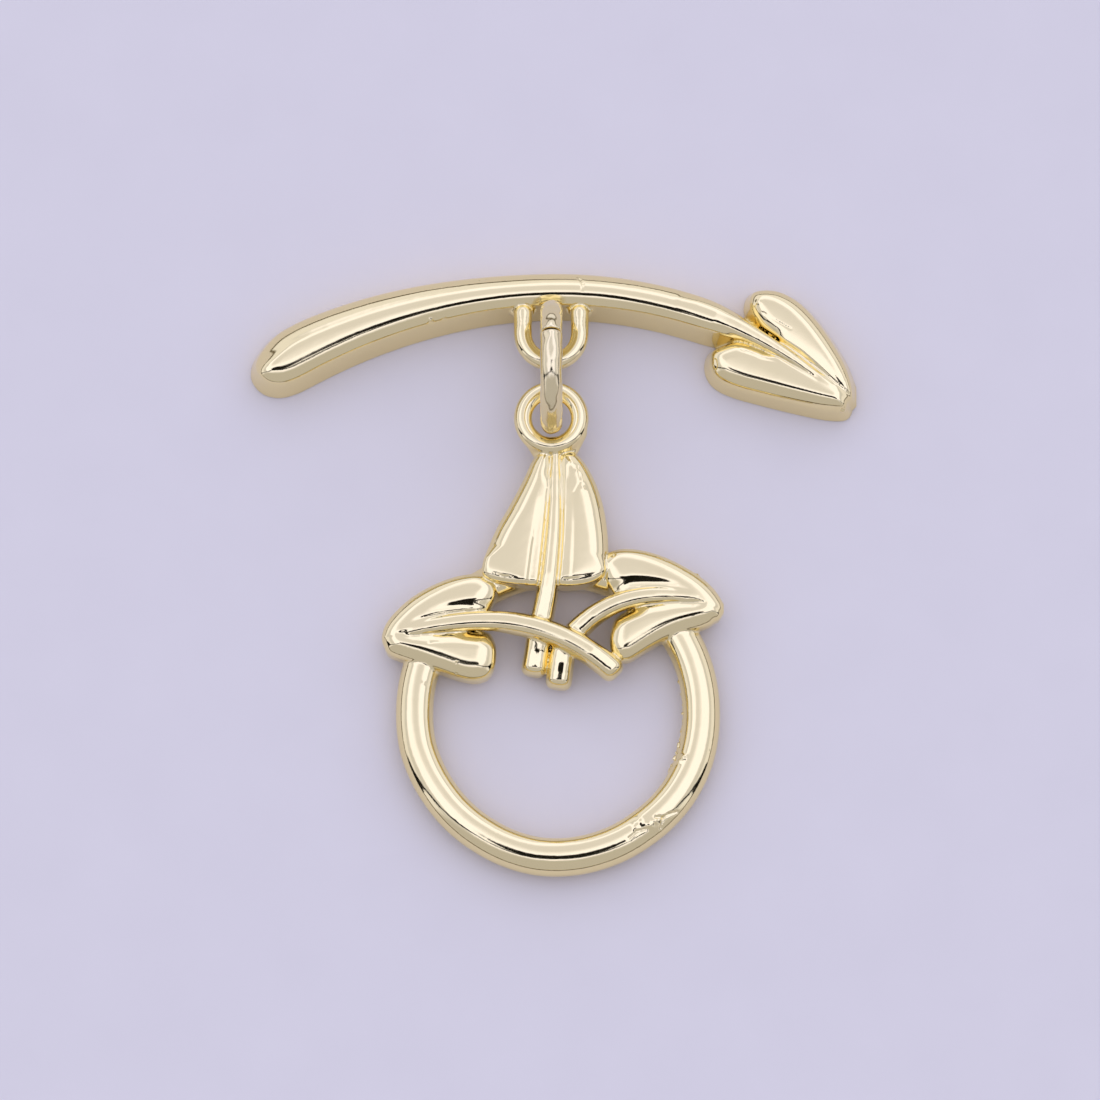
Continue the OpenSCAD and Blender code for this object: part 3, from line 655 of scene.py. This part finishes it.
def jumpRing():
    # round wire bent in a plane that stands on edge, with a cut seam
    around, section, tipTurn = jump["around"], jump["section"], jump["tipTurn"]
    seam = math.degrees(jump["seam"] / jump["radius"])
    start, sweep = jump["seamAngle"] + seam / 2, 360 - seam
    rings = [(start + sweep * i / around, 1.0) for i in range(around + 1)]
    first = [(start + t * tipTurn, r) for t, r in jump["tips"]]
    last = [(start + sweep - t * tipTurn, r) for t, r in reversed(jump["tips"])]
    rings = first + rings[1:-1] + last
    points = []
    for angle, share in rings:
        a = math.radians(angle)
        for j in range(section):
            b = 2 * math.pi * j / section
            # the pliers left the wire a little uneven
            spot = Vector((math.cos(a) * 5, math.sin(a) * 5, math.sin(b))) * jump["dentEvery"]
            half = jump["wire"] / 2 * share - jump["dent"] * max(noise.noise(spot), -0.2)
            r = jump["radius"] + half * math.cos(b)
            x = half * math.sin(b)
            points.append(((jump["centre"][0] + x) * mm, (jump["centre"][1] + r * math.sin(a)) * mm,
                           (jump["centre"][2] + r * math.cos(a)) * mm))
    count = len(rings)
    faces = [[i * section + j, i * section + (j + 1) % section, (i + 1) * section + (j + 1) % section,
              (i + 1) * section + j] for i in range(count - 1) for j in range(section)]
    for end, flip in ((0, 1), (count - 1, -1)):
        points.append(tuple(np.mean(points[end * section:(end + 1) * section], axis=0)))
        hub = len(points) - 1
        faces += [[hub, end * section + (j + 1) % section, end * section + j][::flip] for j in range(section)]
    mesh = bpy.data.meshes.new("jumpRingWire")
    mesh.from_pydata(points, [], faces)
    piece = bpy.data.objects.new("jumpRingWire", mesh)
    bpy.context.scene.collection.objects.link(piece)
    mesh.polygons.foreach_set("use_smooth", [True] * len(mesh.polygons))
    return piece


# Finishes
def nodesOf(tree):
    tree.nodes.clear()
    return tree.nodes, tree.links


def plating(name, settings):
    material = bpy.data.materials.new(name)
    material.use_nodes = True
    nodes, links = nodesOf(material.node_tree)
    output = nodes.new("ShaderNodeOutputMaterial")
    shader = nodes.new("ShaderNodeBsdfPrincipled")
    links.new(shader.outputs[0], output.inputs[0])
    shader.inputs["Metallic"].default_value = 1.0
    place = nodes.new("ShaderNodeTexCoord")
    cloud = nodes.new("ShaderNodeTexNoise")
    cloud.inputs["Scale"].default_value = settings["cloudScale"]
    cloud.inputs["Detail"].default_value = 3
    links.new(place.outputs["Object"], cloud.inputs["Vector"])
    tint = nodes.new("ShaderNodeMix")
    tint.data_type = "RGBA"
    tint.inputs["A"].default_value = (*settings["paleGold"], 1)
    tint.inputs["B"].default_value = (*settings["deepGold"], 1)
    links.new(cloud.outputs[0], tint.inputs["Factor"])
    links.new(tint.outputs["Result"], shader.inputs["Base Color"])
    shine = nodes.new("ShaderNodeMapRange")
    shine.inputs["From Min"].default_value, shine.inputs["From Max"].default_value = 0.35, 0.75
    shine.inputs["To Min"].default_value, shine.inputs["To Max"].default_value = settings["roughness"]
    links.new(cloud.outputs[0], shine.inputs["Value"])
    links.new(shine.outputs[0], shader.inputs["Roughness"])
    wave = nodes.new("ShaderNodeTexNoise")
    wave.inputs["Scale"].default_value = settings["waveScale"]
    wave.inputs["Detail"].default_value = 2
    links.new(place.outputs["Object"], wave.inputs["Vector"])
    bump = nodes.new("ShaderNodeBump")
    bump.inputs["Strength"].default_value = settings["waveStrength"]
    bump.inputs["Distance"].default_value = settings["waveHeight"]
    links.new(wave.outputs[0], bump.inputs["Height"])
    links.new(bump.outputs[0], shader.inputs["Normal"])
    return material


castGold = {
    "paleGold": (0.97, 0.83, 0.45), "deepGold": (0.95, 0.80, 0.41), "cloudScale": 350.0,
    "roughness": (0.05, 0.12), "waveScale": 900.0, "waveStrength": 0.45, "waveHeight": 0.00002,
}
wireGold = {
    "paleGold": (0.93, 0.80, 0.46), "deepGold": (0.88, 0.75, 0.41), "cloudScale": 500.0,
    "roughness": (0.10, 0.20), "waveScale": 1500.0, "waveStrength": 0.4, "waveHeight": 0.00002,
}


paper = {
    "size": 0.6,                # half its width, metres
    "darker": (0.648, 0.626, 0.695), "paler": (0.682, 0.66, 0.73), "roughness": 0.75,
    "grainScale": 260.0, "grainStrength": 0.15, "grainHeight": 0.00005,
}


def paperTable():
    size = paper["size"]
    mesh = bpy.data.meshes.new("paperTable")
    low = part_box("toggle_ring")[0].z
    corners = [(-size, -size, low), (size, -size, low), (size, size, low), (-size, size, low)]
    mesh.from_pydata(corners, [], [[0, 1, 2, 3]])
    table = bpy.data.objects.new("paperTable", mesh)
    bpy.context.scene.collection.objects.link(table)
    material = bpy.data.materials.new("lavenderPaper")
    material.use_nodes = True
    nodes, links = nodesOf(material.node_tree)
    output = nodes.new("ShaderNodeOutputMaterial")
    shader = nodes.new("ShaderNodeBsdfPrincipled")
    links.new(shader.outputs[0], output.inputs[0])
    shader.inputs["Roughness"].default_value = paper["roughness"]
    place = nodes.new("ShaderNodeTexCoord")
    grain = nodes.new("ShaderNodeTexNoise")
    grain.inputs["Scale"].default_value = paper["grainScale"]
    grain.inputs["Detail"].default_value = 6
    links.new(place.outputs["Object"], grain.inputs["Vector"])
    tint = nodes.new("ShaderNodeMix")
    tint.data_type = "RGBA"
    tint.inputs["A"].default_value = (*paper["darker"], 1)
    tint.inputs["B"].default_value = (*paper["paler"], 1)
    links.new(grain.outputs[0], tint.inputs["Factor"])
    links.new(tint.outputs["Result"], shader.inputs["Base Color"])
    bump = nodes.new("ShaderNodeBump")
    bump.inputs["Strength"].default_value = paper["grainStrength"]
    bump.inputs["Distance"].default_value = paper["grainHeight"]
    links.new(grain.outputs[0], bump.inputs["Height"])
    links.new(bump.outputs[0], shader.inputs["Normal"])
    mesh.materials.append(material)


# The light tent, painted by direction: what the polished metal mirrors
tent = {
    "bright": (1.14, 1.18, 1.75), "calm": (0.76, 0.78, 1.1), "side": (0.66, 0.68, 0.94),
    "front": (0.52, 0.52, 0.66), "black": (0.008, 0.008, 0.008), "horizon": (0.13, 0.11, 0.09),
    "under": (0.6, 0.58, 0.66), "wall": (0.86, 0.88, 1.2), "seen": (0.64, 0.61, 0.72),
    # where each part starts and is full, by the direction's height or by how far it points away
    "wallFade": (0.5, 0.4), "frontFade": (-0.42, -0.56), "horizonFade": (0.12, 0.06),
    "underFade": (0.0, -0.04), "legTop": (0.94, 0.92), "legNear": (-0.1, -0.15), "glowFade": (-0.15, 0.25),
    # ovals in degrees from straight up: [right, away, reach across, reach along, soft edge]
    "panel": (0, 16, 49, 58, 0.12), "rest": (-6.5, 28, 21, 24, 0.62), "lens": (0, -14.5, 15.5, 7.5, 0.12),
    "leg": (0.17, -0.926, -0.338), "legWidth": (0.2, 0.035),
    # what lights the table from the near and the far side, and what the metal throws onto it
    "softNear": (0.6, 0.58, 0.59), "softFar": (1.36, 1.35, 1.41), "glow": (1.35, 1.15, 0.6),
}


def lightTent():
    world = bpy.data.worlds.new("lightTent")
    bpy.context.scene.world = world
    world.use_nodes = True
    nodes, links = nodesOf(world.node_tree)

    def math2(operation, a, b=None):
        node = nodes.new("ShaderNodeMath")
        node.operation = operation
        for socket, source in zip(node.inputs, (a, b)):
            if source is None:
                continue
            if isinstance(source, (int, float)):
                socket.default_value = source
            else:
                links.new(source, socket)
        return node.outputs[0]

    def dotWith(vector):
        node = nodes.new("ShaderNodeVectorMath")
        node.operation = "DOT_PRODUCT"
        links.new(direction, node.inputs[0])
        node.inputs[1].default_value = vector
        return node.outputs["Value"]

    def ease(source, start, end):
        # 0 below start and 1 above end, or the other way round
        node = nodes.new("ShaderNodeMapRange")
        node.interpolation_type = "SMOOTHSTEP"
        links.new(source, node.inputs["Value"])
        rising = start < end
        node.inputs["From Min"].default_value = min(start, end)
        node.inputs["From Max"].default_value = max(start, end)
        node.inputs["To Min"].default_value = 0 if rising else 1
        node.inputs["To Max"].default_value = 1 if rising else 0
        return node.outputs[0]

    def mixed(a, b, share):
        node = nodes.new("ShaderNodeMix")
        node.data_type = "RGBA"
        for name, source in (("A", a), ("B", b)):
            if isinstance(source, tuple):
                node.inputs[name].default_value = (*source, 1)
            else:
                links.new(source, node.inputs[name])
        links.new(share, node.inputs["Factor"])
        return node.outputs["Result"]

    place = nodes.new("ShaderNodeTexCoord")
    direction = place.outputs["Generated"]
    split = nodes.new("ShaderNodeSeparateXYZ")
    links.new(direction, split.inputs[0])
    x, y, z = split.outputs
    leanX, leanY = math2("ARCTAN2", x, z), math2("ARCTAN2", y, z)

    def oval(name):
        right, away, across, along, soft = tent[name]
        offX = math2("DIVIDE", math2("SUBTRACT", leanX, math.radians(right)), math.radians(across))
        offY = math2("DIVIDE", math2("SUBTRACT", leanY, math.radians(away)), math.radians(along))
        far = math2("ADD", math2("MULTIPLY", offX, offX), math2("MULTIPLY", offY, offY))
        return ease(far, 1 + soft, 1 - soft)

    light = mixed(tent["side"], tent["wall"], ease(z, *tent["wallFade"]))
    light = mixed(light, tent["bright"], oval("panel"))
    light = mixed(light, tent["calm"], oval("rest"))
    # the camera stand: a black lens overhead and two legs that spread towards the front
    nx, ny, nz = tent["leg"]
    inside = math2("MINIMUM", dotWith((nx, ny, nz)), dotWith((-nx, ny, nz)))
    between = math2("MULTIPLY", ease(inside, 0.0, 0.08), ease(y, *tent["frontFade"]))
    light = mixed(light, tent["front"], between)
    foot, high = tent["legWidth"]
    width = nodes.new("ShaderNodeMapRange")
    links.new(z, width.inputs["Value"])
    width.inputs["To Min"].default_value, width.inputs["To Max"].default_value = foot, high
    width.inputs["From Max"].default_value = 0.35
    onLeg = ease(math2("SUBTRACT", math2("ABSOLUTE", inside), width.outputs[0]), 0.01, -0.01)
    onLeg = math2("MULTIPLY", onLeg, ease(z, *tent["legTop"]))
    onLeg = math2("MULTIPLY", onLeg, ease(y, *tent["legNear"]))
    light = mixed(light, tent["horizon"], ease(z, *tent["horizonFade"]))
    light = mixed(light, tent["under"], ease(z, *tent["underFade"]))
    light = mixed(light, tent["black"], onLeg)
    light = mixed(light, tent["black"], oval("lens"))
    path = nodes.new("ShaderNodeLightPath")
    thrown = math2("MULTIPLY", path.outputs["Is Glossy Ray"], ease(path.outputs["Diffuse Depth"], 0.4, 0.6))
    light = mixed(light, tent["glow"], math2("MULTIPLY", thrown, ease(y, *tent["glowFade"])))
    soft = mixed(tent["softNear"], tent["softFar"], math2("MULTIPLY", math2("ADD", y, 1.0), 0.5))
    light = mixed(light, soft, path.outputs["Is Diffuse Ray"])
    seen = nodes.new("ShaderNodeMix")
    seen.data_type = "RGBA"
    links.new(path.outputs["Is Camera Ray"], seen.inputs["Factor"])
    links.new(light, seen.inputs["A"])
    seen.inputs["B"].default_value = (*tent["seen"], 1)
    background = nodes.new("ShaderNodeBackground")
    links.new(seen.outputs["Result"], background.inputs["Color"])
    output = nodes.new("ShaderNodeOutputWorld")
    links.new(background.outputs[0], output.inputs["Surface"])


camera()
print("camera placed")
castFinish, wireFinish = plating("castGoldPlate", castGold), plating("wireGoldPlate", wireGold)
for build, node, finish, slot in ((ringCasting, "toggle_ring", castFinish, "gold_plate"),
                                  (barCasting, "toggle_bar", castFinish, "gold_plate"),
                                  (jumpRing, "jump_ring", wireFinish, "gold_wire")):
    piece = build()
    piece.data.materials.append(finish)
    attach(piece, "root")
    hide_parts(node)
    print(node, "dressed")
paperTable()
lightTent()
bpy.context.scene.view_settings.view_transform = "Standard"
print("table and light tent set up")
